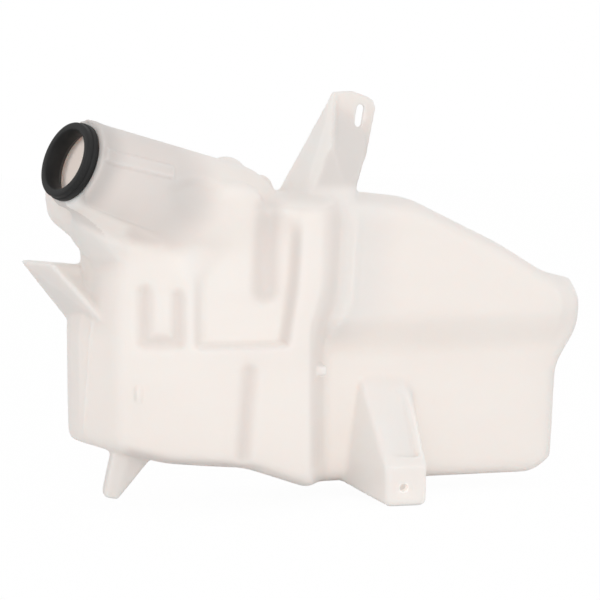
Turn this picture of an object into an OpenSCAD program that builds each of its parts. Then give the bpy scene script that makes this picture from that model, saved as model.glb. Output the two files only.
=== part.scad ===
// Washer fluid reservoir: one blow moulded tank with a main chamber, a side wing, a sloping
// filler neck, a slotted top tab, a side ear, a leg and a bolted foot, and a rubber seal that
// sits in the neck's mouth and takes the filler pipe.
// Origin: centre of the foot's bolt hole, on the pad's face. +X runs along the tank towards the
// wing, +Y from the pad's face into the tank, +Z up.

/* [Main chamber] */
// Width from the left wall to the crease at the wing
block_w = 208; // [195:1:225]
// Distance from the foot's hole back to the crease, along X
crease_x = 55; // [50:1:60]
// Height of the chamber's top above the foot's hole
block_top = 237; // [225:1:250]
// Height of the left wall's lower end above the foot's hole
left_low = 37; // [30:1:44]
// Height of the sump's lowest line above the foot's hole
sump_z = -4; // [-8:1:2]
// Distance from the pad's face back to the mould's parting plane
parting_y = 78; // [70:1:86]
// Depth of the chamber in front of the parting plane
block_front = 75; // [68:1:80]
// Depth of the chamber behind the parting plane
block_back = 46; // [40:1:60]
// Depth of the front left corner in front of the parting plane
corner_front = 60; // [52:1:66]
// Width of the slanted left wall, seen from the front
left_wall_w = 34; // [26:1:42]
// Sideways step of the chamber's right wall above the ledge
jog_w = 17; // [10:1:22]
// Reach of the bulge under the neck past the left wall
chin_reach = 16; // [10:1:20]
// Width of the rounded edge all round the tank
edge_w = 18; // [14:1:24]
// Thickness of the blown wall
wall = 3; // [2.4:0.1:4]

/* [Wing] */
// Length of the wing from the crease to its right end
wing_w = 207; // [190:1:225]
// Height of the wing's right shoulder above the foot's hole
shoulder_z = 160; // [150:1:170]
// Height of the wing's underside above the foot's hole
wing_low = -5; // [-10:1:2]
// Depth of the wing in front of the parting plane at the crease
wing_front = 32; // [26:1:38]
// Depth of the wing in front of the parting plane near its right end
tip_front = 20; // [14:1:26]
// Depth of the wing behind the parting plane
wing_back = 38; // [32:1:46]
// Extra depth of the wing above its waist
bulge = 18; // [8:1:22]
// Reach of the wing's upper end past its lower end
bulge_reach = 21; // [12:1:26]

/* [Front relief] */
// Height of the ledge under the recessed panel
ledge_z = 118; // [112:1:124]
// Left edge of the recessed panel, left of the foot's hole
panel_left = 164; // [158:1:170]
// Right edge of the recessed panel at the ledge, left of the foot's hole
panel_right = 97; // [92:1:100]
// Depth of the recessed panel
panel_d = 11; // [6:1:14]
// Depth of the tall groove beside the pillar
tall_groove_d = 9; // [6:1:14]
// Half width of the tall groove
tall_groove_r = 16; // [9:1:18]
// Depth of the groove in the lower face
low_groove_d = 5; // [3:0.5:8]
// Half width of the groove in the lower face
low_groove_r = 10; // [7:0.5:12]
// Depth of the channel round the tongue
tongue_d = 4.5; // [3:0.5:8]
// Half width of the channel round the tongue
tongue_r = 9; // [7:0.5:10]
// Radius of the round scoop under the neck
scoop_r = 38; // [30:1:42]
// Reach of the round scoop behind the chamber's front face
scoop_d = 5; // [0:1:10]
// Height of the clip across the step
clip_h = 8; // [5:1:11]
// Length of the clip along Y
clip_l = 36; // [30:1:40]

/* [Pump seat] */
// Radius of the port that takes the pump's grommet
port_r = 11; // [9:0.5:13]
// Distance of the port to the left of the foot's hole
port_x = 100; // [92:1:108]
// Height of the port above the foot's hole
port_z = 40; // [34:1:48]
// Half width of the pump's trough
trough_r = 32; // [28:1:38]
// Depth of the pump's trough
trough_d = 18; // [10:1:22]
// Height of the trough's upper end above the foot's hole
trough_top = 130; // [100:1:160]

/* [Filler neck] */
// Radius of the neck outside at its mouth
mouth_r = 36; // [34:0.5:38]
// Radius of the neck outside where its dome begins
dome_r = 49; // [45:0.5:52]
// Length of the neck from its mouth to the dome's centre
neck_len = 150; // [140:1:165]
// Slope of the neck above level
neck_rise = 20; // [14:1:26]
// Turn of the neck towards the front
neck_turn = 27; // [20:1:34]
// Place of the mouth's centre: left of the foot's hole
mouth_x = 263; // [258:1:270]
// Place of the mouth's centre: in front of the pad's face
mouth_y = 3; // [-2:1:10]
// Place of the mouth's centre: above the foot's hole
mouth_z = 264; // [258:1:272]
// Depth of the seal's seat in the mouth
seat_len = 8; // [6:0.5:12]
// Length of the raised bar along the neck
bar_len = 74; // [50:1:90]
// Width of the raised bar
bar_w = 10; // [6:1:14]
// Height of the raised bar
bar_h = 1.2; // [0.6:0.1:2]
// Radius of the larger bump behind the neck's dome
bump_r = 18; // [12:1:20]
// Radius of the smaller bump behind the neck's dome
small_bump_r = 12; // [9:1:14]
// Half length of the nose beside the round scoop
nose_l = 31; // [24:1:36]
// Half height of the nose
nose_r = 14; // [10:1:17]

/* [Filler seal] */
// Radius of the bore that takes the filler pipe
pipe_r = 23; // [20:0.5:24.5]
// Thickness of the seal's sleeve in the neck
sleeve_t = 6; // [4:0.5:7]
// Radius of the seal's flange
flange_r = 31; // [30:0.5:36]
// Thickness of the seal's flange
flange_t = 10; // [7:0.5:13]
// Clearance between the sleeve and its seat
seal_gap = 0.1; // [0.05:0.05:0.3]

/* [Top tab] */
// Thickness of the tab's plate
tab_t = 5; // [4:0.5:8]
// Height of the tab's upper end above the foot's hole
tab_top = 318; // [308:1:328]
// Width of the slot for the bolt
slot_w = 6.6; // [5.5:0.1:8]
// Length of the slot from end to end
slot_len = 19; // [14:1:26]

/* [Ear and leg] */
// Reach of the ear past the left wall
ear_reach = 34; // [26:1:40]
// Height of the ear's upper edge above the foot's hole
ear_z = 182; // [176:1:188]
// Height of the ear from its upper edge to its root
ear_h = 50; // [42:1:56]
// Reach of the leg below the chamber's underside
leg_h = 38; // [30:1:44]

/* [Foot] */
// Width of the foot's pad
pad_w = 33; // [28:1:40]
// Height of the foot's pad
pad_h = 36; // [30:1:42]
// Thickness of the foot's pad
pad_t = 9; // [6:0.5:12]
// Radius of the bolt hole in the pad
bolt_r = 3.5; // [3:0.1:5]
// Height of the foot's upper end above the hole
foot_top = 86; // [76:1:94]
// Width of the channel in the foot's slope
channel_w = 26; // [20:1:28]
// Depth of the channel in the foot's slope
channel_d = 8; // [5:1:9]

/* [Hidden] */

$fn = 48;
EPS = 0.01;
ROUND_FN = 8;
NECK_FN = 32;
LEFT_X = -crease_x - block_w;
RIGHT_X = wing_w - crease_x;
FACE_X = LEFT_X + left_wall_w;
STEP_W = 18;
STEP_X = -crease_x - STEP_W;
PLASTIC = "WhiteSmoke";
RUBBER = [0.12, 0.12, 0.13];

// Outlines along X: the underside and the top of the tank, before the walls are shifted sideways
LOW = [[LEFT_X, left_low], [FACE_X, left_low - 8], [FACE_X + 40, left_low - 18],
    [STEP_X - 54, left_low - 23], [STEP_X, sump_z], [-crease_x, sump_z - 1], [RIGHT_X - 20, wing_low],
    [RIGHT_X, wing_low + 12]];
HIGH = [[LEFT_X, block_top + 7], [FACE_X + 40, block_top], [-crease_x, block_top],
    [-crease_x + 54, block_top - 6], [RIGHT_X - 71, shoulder_z + 33], [RIGHT_X - 27, shoulder_z + 7],
    [RIGHT_X, shoulder_z]];
// Sideways shifts up the tank: the left wall, the crease, the step's front edge and the right end
LEFT_SHIFT = [[ear_z - ear_h, 0], [ear_z - 4, 12], [ear_z + 10, 12], [ear_z + 21, 3],
    [ear_z + 33, 3 - chin_reach], [ear_z + 46, -chin_reach]];
CREASE_SHIFT = [[sump_z, -1], [ledge_z - 2, 0], [ledge_z + 30, jog_w], [block_top, jog_w + 6]];
STEP_SHIFT = [[ledge_z + 12, -2], [ledge_z + 46, jog_w * 0.5], [block_top, jog_w * 0.6]];
RIGHT_SHIFT = [[wing_low, -2], [ledge_z - 32, 2], [ledge_z, bulge_reach],
    [shoulder_z - 14, bulge_reach + 2], [shoulder_z, bulge_reach - 9]];
// Depths along X in front of and behind the parting plane
PLAN_FRONT = [[LEFT_X, 0], [LEFT_X + 3, corner_front * 0.4], [FACE_X, corner_front],
    [FACE_X + 70, block_front - 1], [STEP_X, block_front], [STEP_X + STEP_W, wing_front],
    [RIGHT_X - 30, tip_front], [RIGHT_X - 8, tip_front * 0.75], [RIGHT_X, 0]];
PLAN_BACK = [[LEFT_X, 0], [LEFT_X + 4, block_back * 0.5], [LEFT_X + 26, block_back], [STEP_X, block_back],
    [-crease_x + 10, wing_back], [RIGHT_X - 40, wing_back - 4], [RIGHT_X - 8, wing_back * 0.6],
    [RIGHT_X, 0]];
// The pillar's left wall up the front
PILLAR_X = [[ledge_z, -panel_right], [ledge_z + 50, -panel_right + 8], [block_top, -panel_right + 12]];
TALL_X = -panel_right - 14;
LOW_X = -panel_right - 31;
TONGUE_X = -panel_left - 31;
TONGUE_W = 26;
EAR_RIB_Y = parting_y - 24;
FRONT_Y = parting_y - block_front;
EAR_EDGE_R = 1.5;
NOSE_DIP = 4;
SEAT_R = pipe_r + sleeve_t;

function mix(a, b, f) = a + (b - a) * f;
function limit(v) = min(1, max(0, v));
// A table read with its corners rounded over the width r on each side
function soft(v, table, r) = (lookup(v - r, table) + lookup(v - r / 2, table) + lookup(v, table)
    + lookup(v + r / 2, table) + lookup(v + r, table)) / 5;
// A rounded edge: 0 at the outline, 1 from the width w inwards
EDGE_FORM = 2.8;
function rise(d, w) = let (f = 1 - limit(d / w)) pow(1 - pow(f, EDGE_FORM), 1 / EDGE_FORM);
// A smooth step from 0 to 1 over the width w, centred on 0
function ramp(v, w) = let (f = limit(v / w + 0.5)) f * f * (3 - 2 * f);
function bell(d, w) = d >= w ? 0 : 0.5 + 0.5 * cos(180 * d / w);
function line_dist(p, a, b) = let (f = limit((p - a) * (b - a) / ((b - a) * (b - a))))
    norm(p - mix(a, b, f));
function groove(p, a, b, r) = bell(line_dist(p, a, b), r);

function shift(x, z) = let (m = soft(z, CREASE_SHIFT, 6), s = soft(z, STEP_SHIFT, 6))
    x < STEP_X ? soft(z, LEFT_SHIFT, 5) * limit((FACE_X + 12 - x) / (left_wall_w + 12))
        + s * limit((x - TALL_X) / (STEP_X - TALL_X))
    : x < -crease_x ? mix(s, m, (x - STEP_X) / STEP_W)
    : mix(m, soft(z, RIGHT_SHIFT, 8), limit((x + crease_x) / wing_w));
function low(x) = soft(x, LOW, 6);
function high(x) = soft(x, HIGH, 8);

// The channel round three sides of the tongue, at a point [x, z]
function tongue(p) = let (l = TONGUE_X - TONGUE_W / 2, r = TONGUE_X + TONGUE_W / 2, z = ledge_z + 4)
    max(groove(p, [l, z + 40], [l, z + 4], tongue_r), groove(p, [l, z], [r, z], tongue_r),
        groove(p, [r, z + 4], [r, z + 36], tongue_r));
// The panel that lies deeper than the face, between the pillar and the tongue
function panel(p) = ramp(p.x + panel_left, 9) * ramp(soft(p.y, PILLAR_X, 8) - p.x, 10)
    * ramp(p.y - ledge_z, 4) * ramp(block_top - 20 - p.y, 50);
// The recesses of the front face, at a point [x, z]
function relief(p) = panel_d * panel(p) + tongue_d * tongue(p)
    + tall_groove_d * groove(p, [TALL_X, ledge_z + 44], [TALL_X + 2, block_top], tall_groove_r)
    + low_groove_d * groove(p, [LOW_X + 2, ledge_z - 20], [LOW_X - 3, left_low - 6], low_groove_r);
// The pump's trough in the back, at a point [x, z]
function back_relief(p) = trough_d * ramp(trough_r - abs(p.x + port_x), 16) * ramp(trough_top - p.y, 24);

function round_off(x, z) = rise(z - low(x), edge_w) * rise(high(x) - z, edge_w);
// The wing's extra depth above its waist, which fades out at both of its ends
function wing_bulge(x, z) = bulge * limit((x + crease_x) / 12) * limit((RIGHT_X - x) / 26)
    * ramp(z - ledge_z - 2, 38);
function front_depth(x, z) = let (plan = soft(x, PLAN_FRONT, min(4, x - LEFT_X, RIGHT_X - x)))
    round_off(x, z) * max(0, plan - relief([x + shift(x, z), z]) + wing_bulge(x, z));
function back_depth(x, z) = round_off(x, z)
    * max(0, soft(x, PLAN_BACK, min(5, x - LEFT_X, RIGHT_X - x)) - back_relief([x + shift(x, z), z]));

// The wall taken off a depth: the least depth that a ball of the wall's thickness reaches
PROBES = concat([[0, 0, 1]], [for (a = [0 : 45 : 315]) [0.75 * cos(a), 0.75 * sin(a), 0.66]],
    [for (a = [0 : 45 : 315]) [1.1 * cos(a), 1.1 * sin(a), 0]]);
function inside(depth, x, z) = max(0, min([for (p = PROBES)
    depth(x + p.x * wall, z + p.y * wall) - p.z * wall]));

// The grid: columns along X, close together at the ends and at the step, and rows up the tank
COLUMNS = concat([for (i = [0 : 5]) mix(LEFT_X, FACE_X, pow(i / 6, 1.8))],
    [for (i = [0 : 15]) mix(FACE_X, -panel_left + 8, i / 16)],
    [for (i = [0 : 15]) mix(-panel_left + 8, STEP_X - 4, i / 16)],
    [for (i = [0 : 7]) mix(STEP_X - 4, 6 - crease_x, i / 8)],
    [for (i = [0 : 12]) mix(6 - crease_x, RIGHT_X, 1 - pow(1 - i / 12, 2))]);
ROWS = concat([for (i = [0 : 9]) [0, pow(i / 10, 1.6)]], [for (f = [0, 0.22, 0.42, 0.5, 0.58, 0.78]) [1, f]],
    [for (i = [0 : 12]) [2, 1 - pow(1 - i / 12, 1.6)]]);
NC = len(COLUMNS);
NR = len(ROWS);

function row_z(x, row, inset) =
    let (stops = [low(x) + inset, ledge_z - 14, ledge_z + 14, high(x) - inset])
    mix(stops[row[0]], stops[row[0] + 1], row[1]);
function edge(i, j) = i == 0 || j == 0 || i == NC - 1 || j == NR - 1;
FRONT_CELL = [[[0, 0], [1, 1], [1, 0]], [[0, 0], [0, 1], [1, 1]]];
// A back cell is two columns by two rows, fanned from its corner nearest the middle
function back_cell(i, j) = let (corner = [[0, 0], [2, 0], [2, 2], [0, 2]],
    middle = [[1, 0], [2, 1], [1, 2], [0, 1]], split = [j == 0, i == NC - 3, j == NR - 3, i == 0],
    start = j < NR / 2 ? (i < NC / 2 ? 2 : 3) : (i < NC / 2 ? 1 : 0),
    loop = [for (e = [0 : 3]) let (q = (start + e) % 4) each split[q] ? [corner[q], middle[q]] : [corner[q]]])
    [for (n = [1 : len(loop) - 2]) [for (k = [0, n, n + 1]) [i, j] + loop[k]]];

// A closed skin over the grid, from a front and a back depth, drawn in from the outline by inset
module skin(front, back, inset) {
    xs = [for (x = COLUMNS) mix(LEFT_X + inset, RIGHT_X - inset, (x - LEFT_X) / (RIGHT_X - LEFT_X))];
    grid = [for (x = xs) [for (row = ROWS) row_z(x, row, inset)]];
    function place(i, j, depth) = let (x = xs[i], z = grid[i][j]) [x + shift(x, z), parting_y + depth, z];
    points = concat(
        [for (i = [0 : NC - 1], j = [0 : NR - 1]) place(i, j, edge(i, j) ? 0 : -front(xs[i], grid[i][j]))],
        [for (i = [0 : NC - 1], j = [0 : NR - 1]) place(i, j, edge(i, j) ? 0 : back(xs[i], grid[i][j]))]);
    function id(c, rear) = c[0] * NR + c[1] + (rear && !edge(c[0], c[1]) ? NC * NR : 0);
    faces = concat(
        [for (i = [0 : NC - 2], j = [0 : NR - 2], t = FRONT_CELL) [for (c = t) id([i, j] + c, false)]],
        [for (i = [0 : 2 : NC - 3], j = [0 : 2 : NR - 3], t = back_cell(i, j)) [for (c = t) id(c, true)]]);
    polyhedron(points, faces);
}

// Places its children on the mouth, with +Z out along the neck's axis
module at_mouth() translate([-mouth_x, -mouth_y, mouth_z]) rotate([0, 0, neck_turn])
    rotate([0, neck_rise - 90, 0]) children();

// Half section of the neck and its domed inner end, with the radius taken in by inset
function neck_section(inset) = concat([[0, -neck_len - dome_r + inset]],
    [for (a = [-75 : 15 : 0]) [(dome_r - inset) * cos(a), -neck_len + (dome_r - inset) * sin(a)]]);

module neck() at_mouth() {
    rotate_extrude($fn = NECK_FN) polygon(concat(neck_section(0), [[mouth_r, -12], [mouth_r, 0], [0, 0]]));
    rotate([0, 0, -70]) translate([0, -bar_w / 2, -bar_len - 4])
        cube([mix(mouth_r, dome_r, bar_len / 2 / neck_len) + bar_h, bar_w, bar_len]);
}

module neck_hollow() at_mouth() rotate_extrude($fn = NECK_FN) polygon(concat(neck_section(wall),
    [[mouth_r - wall, -seat_len - 8], [SEAT_R - 0.5, -seat_len], [SEAT_R - 0.5, 1], [0, 1]]));

module ball(p, r) translate(p) sphere(r, $fn = ROUND_FN);

// The round scoop in the front under the neck, grown by the given margin
module neck_scoop(margin) translate([-panel_left - 8, FRONT_Y - scoop_r + scoop_d, block_top - 1])
    sphere(scoop_r + margin, $fn = NECK_FN);

// The two bumps behind the neck's dome, grown by the given margin
module bumps(margin) {
    translate([-crease_x - 75, parting_y - 8, block_top + 11]) sphere(bump_r + margin, $fn = 24);
    translate([-crease_x - 49, parting_y - 4, block_top]) sphere(small_bump_r + margin, $fn = 20);
}

// The nose, a long lobe that runs from the round scoop towards the tab, grown by the given margin
module nose(margin) translate([-crease_x - 88, FRONT_Y + 17, block_top - 1]) rotate([0, NOSE_DIP, 0])
    scale([(nose_l + margin) / (nose_r + margin), 1, 1]) sphere(nose_r + margin, $fn = 24);

// The slotted tab on the chamber's top: a plate, the wedge that stiffens its left edge and ends in a
// rib, and the slope from the plate down to the chamber's shoulder
TAB_Y = parting_y - 12;
TAB_LEFT = -crease_x + 12;
TAB_RIGHT = TAB_LEFT + 35;
TAB_FOOT = TAB_LEFT - 45;
TAB_BEND = tab_top - 45;
TAB_RIB = 21;
TAB_EDGE_R = 2;
module tab() {
    foot_z = block_top - 14;
    translate([0, TAB_Y + tab_t, 0]) rotate([90, 0, 0]) linear_extrude(tab_t) offset(5) offset(-5)
        polygon([[TAB_FOOT - 2, foot_z], [TAB_FOOT - 2, foot_z + 14], [TAB_LEFT - 3, tab_top - 8],
            [TAB_LEFT - 2, tab_top], [TAB_LEFT + 15, tab_top + 1], [TAB_RIGHT - 2, tab_top - 5],
            [TAB_RIGHT, tab_top - 14], [TAB_RIGHT - 8, TAB_BEND - 9], [TAB_RIGHT - 16, TAB_BEND - 24],
            [TAB_RIGHT - 16, foot_z]]);
    hull() {
        ball([TAB_LEFT, TAB_Y + 2, tab_top - 2], TAB_EDGE_R);
        ball([TAB_FOOT, TAB_Y + 2, block_top - 1], TAB_EDGE_R);
        ball([TAB_LEFT - 6, TAB_Y - TAB_RIB, TAB_BEND], TAB_EDGE_R);
        ball([TAB_LEFT - 27, TAB_Y - TAB_RIB - 4, block_top + 7], TAB_EDGE_R);
        ball([TAB_LEFT - 27, TAB_Y - TAB_RIB - 4, block_top - 20], TAB_EDGE_R);
        ball([TAB_LEFT - 17, TAB_Y, block_top - 20], TAB_EDGE_R);
    }
    hull() {
        for (x = [TAB_LEFT - 25, TAB_LEFT + 24]) ball([x, TAB_Y + 3, TAB_BEND - 9], TAB_EDGE_R);
        for (x = [TAB_LEFT - 40, TAB_LEFT - 6]) ball([x, FRONT_Y + 20, block_top - 8], TAB_EDGE_R);
        for (x = [TAB_LEFT - 41, TAB_LEFT + 9]) ball([x, TAB_Y, block_top - 24], TAB_EDGE_R);
    }
}

module slot() translate([TAB_RIGHT - 14, parting_y, tab_top - 19.5]) rotate([90, 10, 0]) linear_extrude(40) {
    square([slot_w, slot_len - slot_w], center = true);
    for (s = [-1, 1]) translate([0, s * (slot_len - slot_w) / 2]) circle(slot_w / 2);
}

// The ear on the left wall: a wedge from a thin outer edge to its rib
module ear() hull() {
    ball([LEFT_X - ear_reach, parting_y + 6, ear_z], EAR_EDGE_R);
    ball([LEFT_X + 4, parting_y + 6, ear_z - ear_h], EAR_EDGE_R);
    ball([LEFT_X - 8, EAR_RIB_Y, ear_z - 1], EAR_EDGE_R);
    ball([LEFT_X + 19, EAR_RIB_Y, ear_z - ear_h + 14], EAR_EDGE_R);
    ball([FACE_X, parting_y + 6, ear_z - 7], EAR_EDGE_R);
    ball([FACE_X, EAR_RIB_Y + 8, ear_z - 7], EAR_EDGE_R);
    ball([FACE_X, EAR_RIB_Y + 8, ear_z - ear_h], EAR_EDGE_R);
}

// The scoop behind the ear's rib, in the ear and the left wall, grown by the given margin
module ear_scoop(margin) hull()
    for (p = [[-2, -34, -10], [32, -34, -13], [22, -34, 20 - ear_h], [2, -6, -13], [22, -6, -14],
        [18, -6, 26 - ear_h]]) ball([LEFT_X + p.x, parting_y + p.y, ear_z + p.z], EAR_EDGE_R + margin);

// The leg under the chamber's left end: a blade with a sloping right flank
module leg() {
    tip_z = left_low - 4 - leg_h;
    leg_y = parting_y - 40;
    hull() {
        for (y = [leg_y, leg_y + 14]) {
            ball([FACE_X - 9, y, tip_z + 1], 2);
            ball([FACE_X + 1, y, tip_z - 1], 2);
            ball([FACE_X + 2, y, left_low + 6], 2);
            ball([FACE_X + 12, y, left_low], 2);
        }
        ball([FACE_X + 34, leg_y + 12, left_low - 8], 2);
        ball([FACE_X + 34, leg_y + 12, left_low + 4], 2);
    }
}

CHANNEL_ROLL = 20;
CHANNEL_LIFT = 4;
// The foot: a slope from the wing's face out to the pad, with a channel in it and a hollow underneath
module foot() {
    base_y = parting_y - wing_front + 12;
    pad_z = pad_h / 2 - 17;
    side = pad_w / 2 - 2;
    difference() {
        hull() {
            for (x = [-side + 1, side + 3], z = [-pad_h / 2 + 3, pad_h / 2 - 2]) ball([x, 2, pad_z + z], 2);
            for (x = [-side + 1, side + 3]) ball([x, pad_t - 2, pad_z - pad_h / 2 + 3], 2);
            for (x = [-38, 18], z = [wing_low + 3, 14]) ball([x, base_y, z], 2);
            for (x = [-22, 16]) ball([x, base_y, foot_top], 3);
        }
        translate([3, 0, pad_z + pad_h / 2])
            rotate([atan2(foot_top - pad_z - pad_h / 2, base_y) + CHANNEL_LIFT, 0, 0])
                rotate([0, CHANNEL_ROLL, 0]) translate([0, 0, -channel_d]) linear_extrude(3 * channel_d)
                    polygon([[-channel_w / 2, 8], [channel_w / 2, 8], [channel_w / 2 - 2, foot_top - 6],
                        [-channel_w / 2 - 8, foot_top - 6]]);
        translate([-side + 3, pad_t, -pad_h]) cube([pad_w - 6, base_y - pad_t - 12, pad_h + 12]);
    }
}

// The clip that bridges the step between the chamber's front and the wing
module clip() translate([STEP_X - 1, FRONT_Y + 11, ledge_z - 27]) cube([STEP_W - 2, clip_l, clip_h]);

// The blown body: everything outside less the hollow and the scoops. The resize changes no size:
// it only has the body taken as one mesh, so that the true bores are cut from it afterwards.
module body() resize([0, 0, 0]) difference() {
    union() {
        skin(function(x, z) front_depth(x, z), function(x, z) back_depth(x, z), 0);
        neck();
        bumps(0);
        nose(0);
        tab();
        ear();
        leg();
        foot();
        clip();
    }
    difference() {
        union() {
            skin(function(x, z) inside(function(a, b) front_depth(a, b), x, z),
                function(x, z) inside(function(a, b) back_depth(a, b), x, z), wall);
            neck_hollow();
            bumps(-wall);
            nose(-wall);
        }
        neck_scoop(wall);
        ear_scoop(wall);
    }
    neck_scoop(0);
    ear_scoop(0);
}

module tank() color(PLASTIC) difference() {
    body();
    at_mouth() translate([0, 0, -seat_len - EPS]) cylinder(r = SEAT_R, h = seat_len + 2);
    slot();
    translate([0, -1, 0]) rotate([-90, 0, 0]) cylinder(r = bolt_r, h = pad_t + 2);
    translate([-port_x, parting_y, port_z]) rotate([-90, 0, 0]) cylinder(r = port_r, h = block_back + 10);
}

// Half section of the rubber seal: a rounded flange outside, a short sleeve in the neck and a lip at
// each end of its bore
module filler_seal() color(RUBBER) at_mouth() rotate_extrude() polygon([
    [pipe_r + 1.5, -seat_len], [SEAT_R - seal_gap - 1, -seat_len], [SEAT_R - seal_gap, -seat_len + 1],
    [SEAT_R - seal_gap, 0], [flange_r - 1, 0], [flange_r, 1], [flange_r, flange_t - 5],
    [flange_r - 1, flange_t - 4.5], [flange_r - 1, flange_t - 1], [flange_r - 2, flange_t],
    [pipe_r + 2, flange_t], [pipe_r + 1.2, flange_t - 1], [pipe_r, flange_t - 6],
    [pipe_r, -seat_len + 3], [pipe_r + 1.5, -seat_len + 1]]);

tank();
filler_seal();
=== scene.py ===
"""Washer fluid reservoir: the blown tank with its moulded relief, and the rubber seal in its neck."""
import math
import bmesh
import bpy
import numpy as np
from mathutils import Matrix, Vector


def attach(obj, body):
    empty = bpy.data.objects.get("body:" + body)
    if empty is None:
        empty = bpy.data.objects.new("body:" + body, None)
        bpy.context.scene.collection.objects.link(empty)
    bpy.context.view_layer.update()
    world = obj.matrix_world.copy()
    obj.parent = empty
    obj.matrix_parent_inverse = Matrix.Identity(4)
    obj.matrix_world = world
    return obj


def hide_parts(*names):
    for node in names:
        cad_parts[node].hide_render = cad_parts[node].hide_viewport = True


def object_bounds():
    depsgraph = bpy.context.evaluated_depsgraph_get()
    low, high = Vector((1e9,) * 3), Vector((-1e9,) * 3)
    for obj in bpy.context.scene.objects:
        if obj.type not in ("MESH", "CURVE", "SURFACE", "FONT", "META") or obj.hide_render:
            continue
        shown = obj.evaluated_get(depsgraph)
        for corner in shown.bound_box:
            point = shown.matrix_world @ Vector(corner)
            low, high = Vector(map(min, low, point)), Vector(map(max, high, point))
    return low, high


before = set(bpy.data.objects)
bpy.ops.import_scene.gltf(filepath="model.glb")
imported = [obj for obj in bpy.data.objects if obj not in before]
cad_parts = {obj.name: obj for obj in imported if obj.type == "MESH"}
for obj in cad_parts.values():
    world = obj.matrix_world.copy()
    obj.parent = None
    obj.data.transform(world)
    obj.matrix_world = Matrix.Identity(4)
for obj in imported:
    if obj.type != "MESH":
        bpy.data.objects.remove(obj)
CAD_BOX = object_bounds()
scene = bpy.context.scene

# Blender works in metres, and the sizes below are in millimetres. They follow the part's source, apart from
# the grooves, scoop, channel, bar, ear rib and other forms that were drawn closer to the photograph here.
MM, PER_M = 0.001, 1000

# Chamber and wing
CREASE_X, BLOCK_W, BLOCK_TOP, LEFT_LOW, SUMP_Z, PARTING_Y = 55, 208, 237, 37, -4, 78
BLOCK_FRONT, BLOCK_BACK, CORNER_FRONT, LEFT_WALL_W = 75, 46, 60, 34
JOG_W, CHIN_REACH, EDGE_W, EDGE_FORM = 17, 16, 18, 2.8
WING_W, SHOULDER_Z, WING_LOW, WING_FRONT, TIP_FRONT, WING_BACK = 207, 160, -5, 32, 20, 38
BULGE, BULGE_REACH = 18, 21
# Relief of the front face, and the pump's trough in the back
LEDGE_Z, PANEL_LEFT, PANEL_RIGHT, PANEL_D = 118, 164, 97, 11
TALL_D, TALL_R, LOW_D, LOW_R, TONGUE_D, TONGUE_R = 6.5, 16, 4, 10, 4, 9
SCOOP_R, SCOOP_D, CLIP_H, CLIP_L = 38, 5, 8, 36
PORT_R, PORT_X, PORT_Z, TROUGH_R, TROUGH_D, TROUGH_TOP = 11, 100, 40, 32, 18, 130
# Filler neck and its seal
MOUTH_R, DOME_R, NECK_LEN, NECK_RISE, NECK_TURN, SEAT_LEN, RIM_LEN = 36, 49, 150, 20, 27, 8, 12
MOUTH = np.array([-263.0, -3.0, 264.0])
BAR_LEN, BAR_W, BAR_H, FOLD_D, WAIST_D = 62, 10.4, 1.7, 1.6, 1.3
BUMP_R, SMALL_BUMP_R, NOSE_L, NOSE_R, NOSE_DIP = 18, 12, 31, 14, 4
PIPE_R, SLEEVE_T, FLANGE_R, FLANGE_T, SEAL_GAP = 23, 6, 31, 10, 0.1
# Tab, ear, leg and foot
TAB_T, TAB_TOP, TAB_RIB, SLOT_W, SLOT_LEN, SLOT_TILT = 5, 318, 21, 6.6, 19, 10
EAR_REACH, EAR_Z, EAR_H, LEG_H = 34, 182, 50, 38
PAD_W, PAD_H, PAD_T, BOLT_R, FOOT_TOP = 33, 36, 9, 3.5, 86
CHANNEL_W, CHANNEL_D, CHANNEL_ROLL, CHANNEL_LIFT = 25, 5, 18, 2
TAB_EDGE_R, EAR_EDGE_R, LEG_EDGE_R, CHIN_R = 2, 1.5, 1.4, 8
# Hollow behind the foot's pad: its depth, and the margin within which its faces are found again
UNDER_D, UNDER_MARGIN = 20, 1.5
# Fine lines: the bead on the left wall, the lug on the face, the dish round the bolt hole, the ear's valley
BEAD, BEAD_W, BEAD_H = ([-246, 37.5, 146], [-254, 47, 42]), 2.6, 0.8
LUG, LUG_W, LUG_H = ([-213, 77], [-213, 85]), 2.4, 1.4
DISH_R, DISH_D, VALLEY_D = 8, 1, 5

LEFT_X, RIGHT_X = -CREASE_X - BLOCK_W, WING_W - CREASE_X
FACE_X, STEP_W = LEFT_X + LEFT_WALL_W, 18
STEP_X, FRONT_Y = -CREASE_X - STEP_W, PARTING_Y - BLOCK_FRONT
TALL_X, LOW_X, TONGUE_X, TONGUE_W = -PANEL_RIGHT - 14, -PANEL_RIGHT - 31, -PANEL_LEFT - 31, 26
EAR_RIB_Y = PARTING_Y - 24
SEAT_R = PIPE_R + SLEEVE_T
TAB_Y, TAB_LEFT, TAB_BEND = PARTING_Y - 12, -CREASE_X + 12, TAB_TOP - 45
TAB_RIGHT, TAB_FOOT = TAB_LEFT + 35, TAB_LEFT - 45
SLOT_X, SLOT_Z = TAB_RIGHT - 14, TAB_TOP - 19.5

# Outlines along X: the underside and the top, before the walls are shifted sideways
LOW = [[LEFT_X, LEFT_LOW], [FACE_X, LEFT_LOW - 8], [FACE_X + 40, LEFT_LOW - 18],
       [STEP_X - 54, LEFT_LOW - 23], [STEP_X, SUMP_Z], [-CREASE_X, SUMP_Z - 1], [RIGHT_X - 20, WING_LOW],
       [RIGHT_X, WING_LOW + 12]]
HIGH = [[LEFT_X, BLOCK_TOP + 7], [FACE_X + 40, BLOCK_TOP], [-CREASE_X, BLOCK_TOP],
        [-CREASE_X + 54, BLOCK_TOP - 6], [RIGHT_X - 71, SHOULDER_Z + 33], [RIGHT_X - 27, SHOULDER_Z + 7],
        [RIGHT_X, SHOULDER_Z]]
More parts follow.
